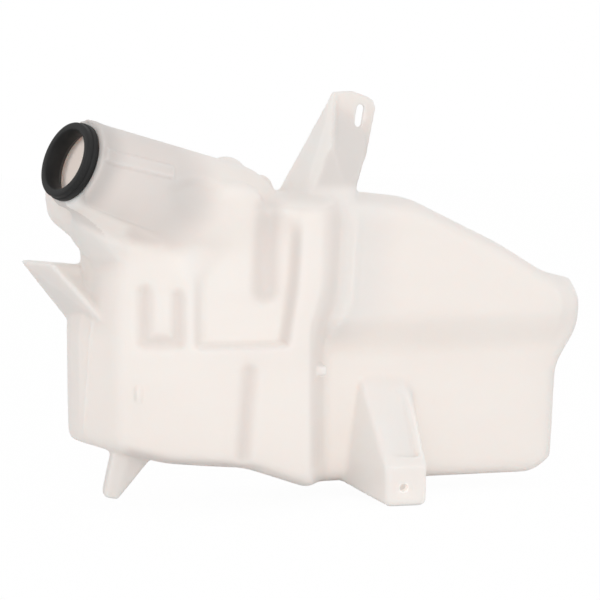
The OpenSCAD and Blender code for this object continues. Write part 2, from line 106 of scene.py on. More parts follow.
# Sideways shifts up the tank: the left wall, the crease, the step's front edge and the right end
LEFT_SHIFT = [[EAR_Z - EAR_H, 0], [EAR_Z - 4, 12], [EAR_Z + 10, 12], [EAR_Z + 21, 3],
              [EAR_Z + 33, 3 - CHIN_REACH], [EAR_Z + 46, -CHIN_REACH]]
CREASE_SHIFT = [[SUMP_Z, -1], [LEDGE_Z - 2, 0], [LEDGE_Z + 30, JOG_W], [BLOCK_TOP, JOG_W + 6]]
STEP_SHIFT = [[LEDGE_Z + 12, -2], [LEDGE_Z + 46, JOG_W * 0.5], [BLOCK_TOP, JOG_W * 0.6]]
RIGHT_SHIFT = [[WING_LOW, -2], [LEDGE_Z - 32, 2], [LEDGE_Z, BULGE_REACH], [SHOULDER_Z - 14, BULGE_REACH + 2],
               [SHOULDER_Z, BULGE_REACH - 9]]
# Depths along X in front of and behind the parting plane
PLAN_FRONT = [[LEFT_X, 0], [LEFT_X + 3, CORNER_FRONT * 0.4], [FACE_X, CORNER_FRONT],
              [FACE_X + 70, BLOCK_FRONT - 1], [STEP_X, BLOCK_FRONT], [STEP_X + STEP_W, WING_FRONT],
              [RIGHT_X - 30, TIP_FRONT], [RIGHT_X - 8, TIP_FRONT * 0.75], [RIGHT_X, 0]]
PLAN_BACK = [[LEFT_X, 0], [LEFT_X + 4, BLOCK_BACK * 0.5], [LEFT_X + 26, BLOCK_BACK], [STEP_X, BLOCK_BACK],
             [-CREASE_X + 10, WING_BACK], [RIGHT_X - 40, WING_BACK - 4], [RIGHT_X - 8, WING_BACK * 0.6],
             [RIGHT_X, 0]]
PILLAR_X = [[LEDGE_Z, -PANEL_RIGHT], [LEDGE_Z + 50, -PANEL_RIGHT + 8], [BLOCK_TOP, -PANEL_RIGHT + 12]]

# Mesh fineness: the outside's voxel, the inside's, and the most triangles that the finished tank keeps
VOXEL, INSIDE_VOXEL, MOST_TRIANGLES = 1.7, 3.5, 180000
# Smoothing steps of the body, its soft roots and the inside, and how far the inside draws back
BODY_STEPS, ROOT_STEPS, INSIDE_STEPS, INSIDE_GAP = 7, 35, 4, 2
# How much less the plates and ribs are smoothed, and the share of the smoothing in the foot's channel
CRISP, CHANNEL_SHARE = 0.65, 0.3
# Painted shade, as a darkening of the plastic's colour: neck, its mouth (the seal's shadow), tab, ear, leg,
# grooves, their flanks and the dent
NECK_SHADE, MOUTH_SHADOW, TAB_SHADE, EAR_SHADE, LEG_SHADE = 0.26, 0.3, 0.26, 0.08, 0.12
GROOVE_SHADE, FLANK_SHADE, DENT_SHADE = 0.17, 0.24, 0.17
# Light that the wall lets in, as a glow of the inside, and the foot's share of it
INSIDE_GLOW, FOOT_SHARE = 0.185, 0.18


# Form functions, which take arrays

def table(v, rows):
    """Straight steps between the rows (place, value)."""
    return np.interp(v, [r[0] for r in rows], [r[1] for r in rows])


def soft(v, rows, r):
    """The same, rounded off over r to each side."""
    return sum(table(v + k * r, rows) for k in (-1, -0.5, 0, 0.5, 1)) / 5


def rise(d, w):
    """A rounded edge: 0 at the rim, 1 from w inwards."""
    return (1 - (1 - np.clip(d / w, 0, 1)) ** EDGE_FORM) ** (1 / EDGE_FORM)


def ramp(v, w):
    """A soft step from 0 to 1, w wide, with its middle at v = 0."""
    f = np.clip(v / w + 0.5, 0, 1)
    return f * f * (3 - 2 * f)


def bell(d, w):
    """1 in the middle, falling softly to 0 at w."""
    return 0.5 + 0.5 * np.cos(np.pi * np.minimum(d / w, 1))


def line_dist(p, a, b):
    """Distance of points from the straight line between two points."""
    a, b = np.asarray(a, float), np.asarray(b, float)
    f = np.clip((p - a) @ (b - a) / ((b - a) @ (b - a)), 0, 1)
    return np.linalg.norm(p - a - f[..., None] * (b - a), axis=-1)


def shift(x, z):
    """How far each point of the skin moves sideways at its height."""
    m, s = soft(z, CREASE_SHIFT, 6), soft(z, STEP_SHIFT, 6)
    left = soft(z, LEFT_SHIFT, 5) * np.clip((FACE_X + 12 - x) / (LEFT_WALL_W + 12), 0, 1) \
        + s * np.clip((x - TALL_X) / (STEP_X - TALL_X), 0, 1)
    step = s + (m - s) * (x - STEP_X) / STEP_W
    wing = m + (soft(z, RIGHT_SHIFT, 8) - m) * np.clip((x + CREASE_X) / WING_W, 0, 1)
    return np.where(x < STEP_X, left, np.where(x < -CREASE_X, step, wing))


def grooves(x, z):
    """The channel round the tongue and the two upright grooves of the front face."""
    p = np.stack([x, z], -1)
    left, right, low = TONGUE_X - TONGUE_W / 2, TONGUE_X + TONGUE_W / 2, LEDGE_Z + 4
    tongue = [([left, low + 40], [left, low + 4]), ([left, low], [right, low]),
              ([right, low + 4], [right, low + 36])]
    out = TONGUE_D * np.maximum.reduce([bell(line_dist(p, a, b), TONGUE_R) for a, b in tongue])
    out += TALL_D * bell(line_dist(p, [TALL_X, LEDGE_Z + 44], [TALL_X + 2, BLOCK_TOP]), TALL_R)
    return out + LOW_D * bell(line_dist(p, [LOW_X + 2, LEDGE_Z - 20], [LOW_X - 3, LEFT_LOW - 6]), LOW_R)


def relief(x, z):
    """All recesses of the front face: the grooves and the panel."""
    left_slope = 14 + 46 * ramp(z - LEDGE_Z - 64, 36)
    return grooves(x, z) + PANEL_D * ramp(x + PANEL_LEFT + 2, left_slope) \
        * ramp(soft(z, PILLAR_X, 8) - x, 11) * ramp(z - LEDGE_Z, 4) * ramp(BLOCK_TOP - 20 - z, 50)


def skin(columns=360, rows=220):
    """The closed skin of chamber and wing, from its depth in front of and behind the parting plane."""
    t, f = np.linspace(0, 1, columns), np.linspace(0, 1, rows)
    xs = LEFT_X + (RIGHT_X - LEFT_X) * (t - 0.1 * np.sin(2 * np.pi * t))
    f = f - 0.12 * np.sin(2 * np.pi * f)
    x = np.repeat(xs[:, None], rows, 1)
    lo, hi = soft(xs, LOW, 6)[:, None], soft(xs, HIGH, 8)[:, None]
    z = lo + (hi - lo) * f
    px = x + shift(x, z)
    off = rise(z - lo, EDGE_W) * rise(hi - z, EDGE_W)
    wing = BULGE * np.clip((RIGHT_X - x) / 26, 0, 1) * ramp(z - LEDGE_Z - 2, 38)
    side = np.minimum(xs - LEFT_X, RIGHT_X - xs)
    front_plan = np.array([soft(v, PLAN_FRONT, r) for v, r in zip(xs, np.minimum(4, side))])[:, None]
    back_plan = np.array([soft(v, PLAN_BACK, r) for v, r in zip(xs, np.minimum(5, side))])[:, None]
    wing_plan = np.where(x < -CREASE_X, WING_FRONT, front_plan) + wing
    plan = np.where(x < STEP_X, front_plan, np.maximum(front_plan, wing_plan))
    front = off * np.maximum(0, plan - relief(px, z))
    trough = TROUGH_D * ramp(TROUGH_R - np.abs(px + PORT_X), 16) * ramp(TROUGH_TOP - z, 24)
    back = off * np.maximum(0, back_plan - trough)
    rim = np.zeros_like(x, bool)
    rim[[0, -1], :] = rim[:, [0, -1]] = True
    front[rim] = back[rim] = 0
    verts = np.concatenate([np.stack([px, y, z], 2).reshape(-1, 3)
                            for y in (PARTING_Y - front, PARTING_Y + back)])
    ids = np.arange(columns * rows).reshape(columns, rows)
    rear = np.where(rim, ids, ids + columns * rows)
    quads = [[g[:-1, :-1], g[1:, :-1], g[1:, 1:], g[:-1, 1:]][::d] for g, d in ((ids, 1), (rear, -1))]
    return make("skin", verts, np.concatenate([np.stack(q, 2).reshape(-1, 4) for q in quads]))


# Mesh helpers, in millimetres

def make(name, verts, faces):
    me = bpy.data.meshes.new(name)
    me.from_pydata((np.asarray(verts, float) * MM).tolist(), [], [list(map(int, f)) for f in faces])
    ob = bpy.data.objects.new(name, me)
    scene.collection.objects.link(ob)
    bm = bmesh.new()
    bm.from_mesh(me)
    bmesh.ops.delete(bm, geom=[v for v in bm.verts if not v.link_faces], context="VERTS")
    bmesh.ops.remove_doubles(bm, verts=bm.verts, dist=1e-7)
    bmesh.ops.recalc_face_normals(bm, faces=bm.faces)
    bm.to_mesh(me)
    bm.free()
    return ob


def from_bmesh(name, bm, matrix=Matrix()):
    bm.verts.index_update()
    verts = [(matrix @ v.co)[:] for v in bm.verts]
    faces = [[v.index for v in f.verts] for f in bm.faces]
    bm.free()
    return make(name, verts, faces)


def balls_hull(name, balls):
    """The convex hull of some balls, each (x, y, z, radius)."""
    cloud, bm = bmesh.new(), bmesh.new()
    for x, y, z, r in balls:
        bmesh.ops.create_icosphere(cloud, subdivisions=2, radius=r, matrix=Matrix.Translation((x, y, z)))
    for v in cloud.verts:
        bm.verts.new(v.co)
    cloud.free()
    bmesh.ops.convex_hull(bm, input=bm.verts)
    bmesh.ops.delete(bm, geom=[v for v in bm.verts if not v.link_faces], context="VERTS")
    return from_bmesh(name, bm)


def ball(name, centre, r, stretch=1, dip=0):
    """A ball, or an egg stretched along X and dipped towards -Z."""
    bm = bmesh.new()
    bmesh.ops.create_icosphere(bm, subdivisions=5, radius=r)
    return from_bmesh(name, bm, Matrix.Translation(centre) @ Matrix.Rotation(math.radians(dip), 4, "Y")
                      @ Matrix.Diagonal((stretch, 1, 1, 1)))


def box(name, size, matrix):
    """A box from the origin, placed by a matrix."""
    bm = bmesh.new()
    from_corner = Matrix.Diagonal((*size, 1)) @ Matrix.Translation((0.5, 0.5, 0.5))
    bmesh.ops.create_cube(bm, size=1, matrix=from_corner)
    return from_bmesh(name, bm, matrix)


def prism(name, outline, y0, y1, matrix=Matrix()):
    """An outline in X and Z drawn through from y0 to y1, placed by a matrix."""
    n = len(outline)
    verts = [(matrix @ Vector((x, y, z)))[:] for y in (y0, y1) for x, z in outline]
    return make(name, verts, [list(range(n)), list(range(2 * n - 1, n - 1, -1))]
                + [[i, (i + 1) % n, n + (i + 1) % n, n + i] for i in range(n)])


def revolve(name, profile, matrix, n=96):
    """A profile of (radius, height) turned about Z, closed where it meets the axis or itself."""
    verts, rings = [], []
    for r, h in profile:
        if r < 1e-6:
            rings.append([len(verts)] * n)
            verts.append((0, 0, h))
        else:
            rings.append(list(range(len(verts), len(verts) + n)))
            turns = [2 * math.pi * k / n for k in range(n)]
            verts += [(r * math.cos(a), r * math.sin(a), h) for a in turns]
    faces = []
    for a, b in zip(rings, rings[1:] + rings[:1] if profile[0][0] > 1e-6 else rings[1:]):
        for k in range(n):
            f = [a[k], a[(k + 1) % n], b[(k + 1) % n], b[k]]
            f = [v for i, v in enumerate(f) if v not in f[:i]]
            if len(f) > 2:
                faces.append(f)
    return make(name, [(matrix @ Vector(v))[:] for v in verts], faces)


def settle(ob):
    """The object's modifiers applied to its mesh."""
    me = bpy.data.meshes.new_from_object(ob.evaluated_get(bpy.context.evaluated_depsgraph_get()))
    ob.modifiers.clear()
    old, ob.data = ob.data, me
    bpy.data.meshes.remove(old)
    return ob


def cut(ob, *tools):
    for t in tools:
        m = ob.modifiers.new("cut", "BOOLEAN")
        m.operation, m.solver, m.object = "DIFFERENCE", "MANIFOLD", t
        settle(ob)
        bpy.data.objects.remove(t)
    return ob


def joined(name, obs):
    verts, faces, n = [], [], 0
    for o in obs:
        verts += [(v.co * PER_M)[:] for v in o.data.vertices]
        faces += [[i + n for i in p.vertices] for p in o.data.polygons]
        n = len(verts)
        bpy.data.objects.remove(o)
    me = bpy.data.meshes.new(name)
    me.from_pydata((np.array(verts) * MM).tolist(), [], faces)
    ob = bpy.data.objects.new(name, me)
    scene.collection.objects.link(ob)
    return ob


def remesh(ob, voxel):
    m = ob.modifiers.new("remesh", "REMESH")
    m.mode, m.voxel_size, m.adaptivity = "VOXEL", voxel * MM, 0
    return settle(ob)


def thin_out(ob, most):
    """Fewer triangles where the surface is even."""
    count = sum(len(p.vertices) - 2 for p in ob.data.polygons)
    m = ob.modifiers.new("thin_out", "DECIMATE")
    m.ratio = min(1, most / count)
    return settle(ob)


def islands(bm):
    """The points of each connected surface."""
    left, groups = set(bm.verts), []
    while left:
        stack, group = [left.pop()], set()
        while stack:
            v = stack.pop()
            group.add(v)
            near = [e.other_vert(v) for e in v.link_edges]
            stack += [o for o in near if o in left]
            left.difference_update(near)
        groups.append(group)
    return groups


def drop_crumbs(ob):
    """Only the largest connected surface is kept."""
    bm = bmesh.new()
    bm.from_mesh(ob.data)
    main = max(islands(bm), key=len)
    bmesh.ops.delete(bm, geom=[v for v in bm.verts if v not in main], context="VERTS")
    bm.to_mesh(ob.data)
    bm.free()


def points(me):
    co = np.zeros(len(me.vertices) * 3)
    me.vertices.foreach_get("co", co)
    return co.reshape(-1, 3) * PER_M


def normals(me):
    out = np.zeros(len(me.vertices) * 3)
    me.vertices.foreach_get("normal", out)
    return out.reshape(-1, 3)


def place(me, co):
    me.vertices.foreach_set("co", (co * MM).ravel())
    me.update()


def relax(ob, steps, weight=None):
    """Evens the surface out; weight is how much each point follows, from 0 to 1."""
    me = ob.data
    co = points(me)
    e = np.zeros(len(me.edges) * 2, int)
    me.edges.foreach_get("vertices", e)
    i, j = e[::2], e[1::2]
    deg = np.bincount(e, minlength=len(co))[:, None]
    w = 0.5 if weight is None else 0.5 * weight(co)[:, None]
    for _ in range(steps):
        total = np.stack([np.bincount(i, co[j, k], len(co)) + np.bincount(j, co[i, k], len(co))
                          for k in range(3)], 1)
        co += w * (total / deg - co)
    place(me, co)
    return ob


# The neck's own axes: +Z out of its mouth
TO_NECK = Matrix.Translation(MOUTH) @ Matrix.Rotation(math.radians(NECK_TURN), 4, "Z") \
    @ Matrix.Rotation(math.radians(NECK_RISE - 90), 4, "Y")
NECK_X, NECK_Y, NECK_AXIS = np.array(TO_NECK.to_3x3()).T


def neck_place(co):
    """Points in the neck's own measure: along its axis, radius and angle."""
    d = co - MOUTH
    return d @ NECK_AXIS, np.hypot(d @ NECK_X, d @ NECK_Y), np.degrees(np.arctan2(d @ NECK_Y, d @ NECK_X))


def cone(t):
    """The neck's radius along its axis."""
    return table(t, [[-NECK_LEN, DOME_R], [-RIM_LEN, MOUTH_R]])


# The pieces of the tank's outside

def neck():
    """The tapered neck, from the dome in the chamber's top to the straight rim at its mouth."""
    turns = [math.radians(a) for a in range(-85, 5, 5)]
    dome = [(DOME_R * math.cos(a), -NECK_LEN + DOME_R * math.sin(a)) for a in turns]
    rim = [(MOUTH_R, -RIM_LEN), (MOUTH_R, 0), (0, 0)]
    return revolve("neck", [(0, -NECK_LEN - DOME_R)] + dome + rim, TO_NECK)


def lobes():
    """The two bumps behind the neck's dome, and the nose beside the round scoop."""
    return [ball("bump", (-CREASE_X - 78, PARTING_Y - 8, BLOCK_TOP + 11), BUMP_R),
            ball("small_bump", (-CREASE_X - 50, PARTING_Y - 4, BLOCK_TOP + 2), SMALL_BUMP_R),
            ball("nose", (-CREASE_X - 88, FRONT_Y + 17, BLOCK_TOP - 1), NOSE_R, NOSE_L / NOSE_R, NOSE_DIP)]


def tab():
    """The plate, the wedge on its left that ends in a rib, the web from the rib to the plate, and the slope
    from its lower edge down to the shoulder. Depths are counted from the plate's face."""
    low = BLOCK_TOP - 14
    plate = [(TAB_FOOT - 2, low), (TAB_FOOT - 2, low + 14), (TAB_LEFT - 3, TAB_TOP - 8),
             (TAB_LEFT - 2.4, TAB_TOP - 1), (TAB_LEFT - 1, TAB_TOP), (TAB_LEFT + 15, TAB_TOP + 1),
             (TAB_RIGHT - 6, TAB_TOP - 4), (TAB_RIGHT - 2, TAB_TOP - 7), (TAB_RIGHT, TAB_TOP - 13),
             (TAB_RIGHT - 8, TAB_BEND - 9), (TAB_RIGHT - 16, TAB_BEND - 24), (TAB_RIGHT - 16, low)]
    wedge = [(TAB_LEFT, 2, TAB_TOP - 2), (TAB_FOOT, 2, BLOCK_TOP - 1), (TAB_LEFT - 6, -TAB_RIB, TAB_BEND),
             (TAB_LEFT - 27, -TAB_RIB - 4, BLOCK_TOP + 7), (TAB_LEFT - 27, -TAB_RIB - 4, BLOCK_TOP - 20),
             (TAB_LEFT - 17, 0, BLOCK_TOP - 20)]
    front = FRONT_Y + 20 - TAB_Y
    bend = [(TAB_LEFT - 6, 1 - TAB_RIB, TAB_BEND - 2), (TAB_LEFT + 22, -8, TAB_BEND - 7)]
    web = bend + [(TAB_LEFT + 1, 3, TAB_TOP - 8), (TAB_LEFT + 26, 3, TAB_TOP - 28),
                  (TAB_LEFT + 22, 3, TAB_BEND - 11), (TAB_LEFT, 3, TAB_BEND - 11)]
    slope = bend + [(TAB_LEFT - 27, -TAB_RIB - 3, BLOCK_TOP + 6), (TAB_LEFT - 31, front + 8, BLOCK_TOP - 8),
                    (TAB_LEFT + 3, front + 6, BLOCK_TOP - 8), (TAB_LEFT - 27, 0, BLOCK_TOP - 24),
                    (TAB_LEFT + 9, 0, BLOCK_TOP - 24), (TAB_LEFT + 22, 3, TAB_BEND - 11)]
    return [prism("plate", plate, TAB_Y, TAB_Y + TAB_T)] \
        + [balls_hull("tab", [(x, TAB_Y + y, z, TAB_EDGE_R) for x, y, z in pts])
           for pts in (wedge, web, slope)]


def slot():
    """The tool for the tab's tilted slot."""
    h, r = (SLOT_LEN - SLOT_W) / 2, SLOT_W / 2
    ends = [*[(math.radians(a), h) for a in range(0, 181, 10)],
            *[(math.radians(a), -h) for a in range(180, 361, 10)]]
    turn = Matrix.Rotation(math.radians(-SLOT_TILT), 2)
    outline = [turn @ Vector((r * math.cos(a), e + r * math.sin(a))) for a, e in ends]
    return prism("slot", [(SLOT_X + p.x, SLOT_Z + p.y) for p in outline], PARTING_Y - 40, PARTING_Y + 20)


def ear():
    """The ear, whose front rib runs down into the left wall and leaves a valley beside the wall."""
    back = PARTING_Y + 6
    pts = [(LEFT_X - EAR_REACH, back, EAR_Z), (LEFT_X + 4, back, EAR_Z - EAR_H),
           (LEFT_X - 13, EAR_RIB_Y, EAR_Z - 1), (LEFT_X + 26, EAR_RIB_Y - 24, EAR_Z - EAR_H + 4),
           (FACE_X, back, EAR_Z - 7), (FACE_X, back, EAR_Z - EAR_H)]
    return balls_hull("ear", [(*p, EAR_EDGE_R) for p in pts])


def chin():
    """The fillet between the neck's underside and the chamber's upper left corner."""
    pts = [(-257, 6, 230), (-241, 14, 222), (-226, 20, 214), (-240, 43, 186), (-215, 27, 180),
           (-256, 50, 206)]
    return balls_hull("chin", [(*p, CHIN_R) for p in pts])


def leg():
    """The leg under the chamber's left end, with a web to its right."""
    tip, y = LEFT_LOW - 4 - LEG_H, PARTING_Y - 40
    side = [(-9, tip + 1), (1, tip - 1), (2, LEFT_LOW + 6), (12, LEFT_LOW)]
    pts = [(dx, dy, z) for dy in (0, 14) for dx, z in side]
    pts += [(34, 12, LEFT_LOW - 8), (34, 12, LEFT_LOW + 4)]
    return balls_hull("leg", [(FACE_X + dx, y + dy, z, LEG_EDGE_R) for dx, dy, z in pts])


def foot():
    """The slope from the wing out to the pad, with its channel and the hollow underneath."""
    base, pad_z, side = PARTING_Y - WING_FRONT + 12, PAD_H / 2 - 17, PAD_W / 2 - 2
    top, low, rim_y, rim_z = pad_z + PAD_H / 2, pad_z - PAD_H / 2 + 1.2, base - 12, FOOT_TOP - 4
    pts = [(x, 2, top - 2, 2) for x in (1 - side, side + 3)] + [(x, 5, low + 5, 5) for x in (4 - side, side)]
    pts += [(x, base, z, 2) for x in (-38, 18) for z in (WING_LOW + 3, 14)]
    pts += [(-22, rim_y + 2, rim_z - 2, 3), (11, rim_y + 5, rim_z - 3, 3), (17, rim_y + 5, rim_z - 11, 3)]
    tilt = Matrix.Rotation(math.atan2(rim_z - top, rim_y) + math.radians(CHANNEL_LIFT), 4, "X")
    flat = Matrix.Rotation(math.radians(CHANNEL_ROLL), 4, "Y") @ Matrix.Rotation(math.radians(-90), 4, "X")
    half, end = CHANNEL_W / 2, FOOT_TOP - 17
    outline = [(-half, 8), (half, 8), (half - 1, end - 6), (half - 6, end), (-half - 5, end)]
    channel = prism("channel", outline, CHANNEL_D, -2 * CHANNEL_D,
                    Matrix.Translation((3, 0, top)) @ tilt @ flat)
    under = box("under", (PAD_W - 6, UNDER_D, PAD_H + 12), Matrix.Translation((-side + 3, PAD_T, -PAD_H)))
    return cut(balls_hull("foot", pts), channel, under)


def along_y(x, z, r, y0, y1):
    """The tool for a round bore along Y."""
    turn = Matrix.Rotation(math.radians(-90), 4, "X")
    return revolve("bore", [(0, y0), (r, y0), (r, y1), (0, y1)], Matrix.Translation((x, 0, z)) @ turn, 64)


# Each region below is a product of ramps: its limit in millimetres, then the width over which it fades

def body_weight(co):
    """The tab, ear, leg, foot and clip follow less than the blown body, so that they keep their edges."""
    x, y, z = co.T
    crisp = np.maximum.reduce([
        ramp(z - 246, 12) * ramp(x + 96, 12),
        ramp(-232 - x, 10) * ramp(188 - z, 8) * ramp(z - 126, 12),
        ramp(24 - z, 14) * ramp(-180 - x, 14),
        ramp(46 - y, 16) * ramp(96 - z, 16) * ramp(x + 40, 12),
        ramp(x + 80, 8) * ramp(-50 - x, 8) * ramp(104 - z, 6) * ramp(z - 84, 6)])
    return 1 - CRISP * crisp


def root_weight(co):
    """Where the forms run softly into each other: the neck's root and its cheek below, the tab's slope, the
    lower left corner and the foot's channel."""
    x, y, z = co.T
    root = ramp(-112 - x, 20) * ramp(z - 190, 14) * ramp(237 - z, 12) * ramp(75 - y, 20)
    slope = ramp(x + 92, 10) * ramp(-28 - x, 8) * ramp(z - 212, 10) * ramp(246 - z, 8) * ramp(60 - y, 10)
    corner = ramp(-240 - x, 14) * ramp(60 - z, 16)
    channel = ramp(x + 22, 8) * ramp(22 - x, 6) * ramp(z - 26, 8) * ramp(84 - z, 8) * ramp(50 - y, 10)
    cheek = ramp(-200 - x, 16) * ramp(x + 266, 8) * ramp(z - 172, 10) * ramp(205 - z, 12) * ramp(60 - y, 16)
    return np.maximum.reduce([root, slope, corner, CHANNEL_SHARE * channel, cheek])


# Along the neck's axis: the angles of the bar's middle and of the fold under the front
BAR_LINE = [[-64, -67.4], [-14, -74.8]]
FOLD_LINE = [[-90, -137], [-67, -141], [-31, -148], [-14, -151], [-7, -146], [-1, -136], [3, -126]]


def dent(ob):
    """The scoop in the neck's root: a hollow with a firm upper edge, which fades out downwards."""
    co, n = points(ob.data), normals(ob.data)
    x, y, z = co.T
    rise_up = z - BLOCK_TOP - 1
    d = np.hypot((x + PANEL_LEFT + 6) / (SCOOP_R - 9), np.where(rise_up > 0, rise_up / 17, rise_up / 34))
    firm = ramp(rise_up, 12)
    depth = (1 - firm) * bell(d, 1) + firm * ramp(0.7 - d, 0.6)
    depth *= ramp(40 - y, 16) * ramp(0.3 - n[:, 1], 0.4)
    co[:, 1] += (SCOOP_D - 1) * depth
    place(ob.data, co)


def ear_valley(ob):
    """The recess beside the ear's rib, where the left wall draws back."""
    co = points(ob.data)
    x, y, z = co.T
    rib_z = EAR_Z - 1 - (x - LEFT_X + 13) * 1.1
    co[:, 1] += VALLEY_D * ramp(LEFT_X + 22 - x, 8) * ramp(z - rib_z - 6, 8) * ramp(EAR_Z - 8 - z, 8) \
        * ramp(66 - y, 10)
    place(ob.data, co)


def fine_lines(ob):
    """On the neck the raised bar, the fold under its front and the slight waist behind its mouth; the bead on
    the left wall, the small lug on the face and the dish round the bolt hole. Nothing leaves the CAD box."""
    co, n = points(ob.data), normals(ob.data)
    t, r, angle = neck_place(co)
    on_neck = ramp(6 - np.abs(r - cone(t)), 6)
    across = np.abs(np.radians(angle - table(t, BAR_LINE))) * r
    lift = BAR_H * ramp(BAR_W / 2 - across, 1.8) * ramp(BAR_LEN / 2 - np.abs(t + BAR_LEN / 2 + 3), 1.8) \
        * on_neck
    under = np.radians((table(t, FOLD_LINE) - angle + 180) % 360 - 180) * r
    lift -= FOLD_D * ramp(under, 2.2) * ramp(30 - under, 12) * ramp(t + 70, 30) * on_neck
    lift -= WAIST_D * bell(np.abs(t + 15), 15) * ramp(-86 - angle, 26) * ramp(angle + 146, 16) * on_neck
    lift += BEAD_H * bell(line_dist(co, *BEAD), BEAD_W)
    lift += LUG_H * ramp(LUG_W - line_dist(co[:, [0, 2]], *LUG), 2) * (co[:, 1] < 30)
    lift -= DISH_D * bell(np.hypot(co[:, 0], co[:, 2]), DISH_R) * (co[:, 1] < 6)
    low, high = np.array(CAD_BOX) * PER_M
    place(ob.data, np.clip(co + lift[:, None] * n, low, high))


def tank():
    """The outside as one smoothed mesh, still solid."""
    clip = box("clip", (STEP_W - 1, CLIP_L, CLIP_H),
               Matrix.Translation((STEP_X - 4, FRONT_Y + 11, LEDGE_Z - 27)))
    ob = joined("tank_shell", [skin(), neck(), chin(), ear(), leg(), foot(), clip] + lobes() + tab())
    remesh(ob, VOXEL)
    ear_valley(ob)
    relax(ob, BODY_STEPS, body_weight)
    relax(ob, ROOT_STEPS, root_weight)
    dent(ob)
    fine_lines(ob)
    return ob


def hollow():
    """The inside: the CAD solid's own hollow, closed where its bores leave it."""
    bm = bmesh.new()
    bm.from_mesh(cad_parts["tank"].data)
    bmesh.ops.remove_doubles(bm, verts=bm.verts, dist=2e-6)
    bm.verts.index_update()
    co = np.array([v.co for v in bm.verts]) * PER_M
    t, r, _ = neck_place(co)
    on_seat = (np.abs(r - SEAT_R) < 0.1) & (np.abs(t + SEAT_LEN / 2) < SEAT_LEN)
    from_port = np.hypot(co[:, 0] + PORT_X, co[:, 2] - PORT_Z)
    on_port = (np.abs(from_port - PORT_R) < 0.1) & (co[:, 1] > PARTING_Y)
    dead = [f for f in bm.faces if any(all(on[v.index] for v in f.verts) for on in (on_seat, on_port))]
    bmesh.ops.delete(bm, geom=dead, context="FACES")
    inner = sorted(islands(bm), key=lambda g: max(v.co.x for v in g) - min(v.co.x for v in g))[-2]
    bmesh.ops.delete(bm, geom=[v for v in bm.verts if v not in inner], context="VERTS")
    bmesh.ops.holes_fill(bm, edges=[e for e in bm.edges if e.is_boundary], sides=0)
    bmesh.ops.triangulate(bm, faces=bm.faces)
    inside = from_bmesh("inside", bm, Matrix.Scale(PER_M, 4))
    relax(remesh(inside, INSIDE_VOXEL), INSIDE_STEPS)
    place(inside.data, points(inside.data) - INSIDE_GAP * normals(inside.data))
    inside.data.polygons.foreach_set("material_index", np.ones(len(inside.data.polygons), np.int32))
    return inside


def shade(ob, angle):
    for p in ob.data.polygons:
        p.use_smooth = True
    ob.data.set_sharp_from_angle(angle=math.radians(angle))


def mark_painted_shade(ob):
    """Painted shade, as a darkening of the colour: more on the neck and on single plates than on the hollow
    body, which light fills from inside, and more in the grooves, on their flanks and in the dent. The inside
    is marked too, for a painted glow, with the bolt hole, the hollow behind it and, more weakly, the foot."""
    co, n = points(ob.data), normals(ob.data)
    x, y, z = co.T
    t, r, angle = neck_place(co)
    # Painted shade on the neck, and the painted shadow of the seal seen through its wall, darkest at the
    # mouth
    near = ramp(5 - np.abs(r - cone(t)), 6) * ramp(t + 92, 50) * ramp(angle + 150, 20)
    neck_part = NECK_SHADE * near + MOUTH_SHADOW * near * ramp(t + 14, 22)
    # Painted shade on the tab plate, the ear and the leg, where less light comes through the plastic
    plate = TAB_SHADE * ramp(z - 242, 10) * ramp(x + 96, 20) * ramp(n[:, 0] + 0.3, 0.3) \
        * (1 - 0.5 * ramp(z - 300, 30))
    side = EAR_SHADE * ramp(-232 - x, 14) * ramp(188 - z, 8) * ramp(z - 128, 20)
    stand = LEG_SHADE * ramp(28 - z, 14) * ramp(-185 - x, 14)
    # Painted shade in the grooves, and on flanks turned away from the front light
    front = ramp(40 - y, 12) * ramp(z - 20, 10) * ramp(232 - z, 10) * ramp(x + 222, 10) * ramp(-38 - x, 10)
    flanks = np.clip((0.95 + n[:, 1]) / 0.4, 0, 1) * ramp(0.6 - n[:, 2], 0.3) * (1 - 0.5 * ramp(x + 76, 8))
    folds = front * np.maximum(GROOVE_SHADE * np.clip(grooves(x, z) / LOW_D, 0, 1), FLANK_SHADE * flanks)
    # Painted shade in the dent under the neck
    from_dent = np.hypot(x + PANEL_LEFT + 6, (z - BLOCK_TOP + 2) * 0.85)
    dent_part = DENT_SHADE * bell(from_dent, 34) * ramp(40 - y, 16)
    value = np.maximum.reduce([neck_part, plate, side, stand, folds]) + dent_part
    # Painted light: the inside, the bolt hole and the hollow glow fully, the foot more weakly
    inner = (FOOT_SHARE * ramp(45 - y, 10) * ramp(x + 30, 14) * ramp(84 - z, 10)).astype(np.float32)
    inner[[v for p in ob.data.polygons if p.material_index for v in p.vertices]] = 1
    deep = (y > PAD_T - UNDER_MARGIN) & (y < PAD_T + UNDER_D + UNDER_MARGIN)
    inner[(np.abs(x - 2) < 14.5) & deep & (np.abs(z) < 13)] = 1
    inner[(np.hypot(x, z) < BOLT_R + 0.2) & (y < PAD_T + 1)] = 1
    for p in ob.data.polygons:
        p.material_index = 0
    ob.data.attributes.new("inner", "FLOAT", "POINT").data.foreach_set("value", inner)
    ob.data.attributes.new("painted_shade", "FLOAT", "POINT").data.foreach_set("value", value.astype(np.float32))


# Materials

def noise(nt, scale, detail, stretch=(1, 1, 1)):
    co, m, n = (nt.nodes.new("ShaderNode" + k) for k in ("TexCoord", "Mapping", "TexNoise"))
    m.inputs["Scale"].default_value = stretch
    n.inputs["Scale"].default_value, n.inputs["Detail"].default_value = scale, detail
    nt.links.new(co.outputs["Object"], m.inputs["Vector"])
    nt.links.new(m.outputs["Vector"], n.inputs["Vector"])
    return n.outputs["Fac"]


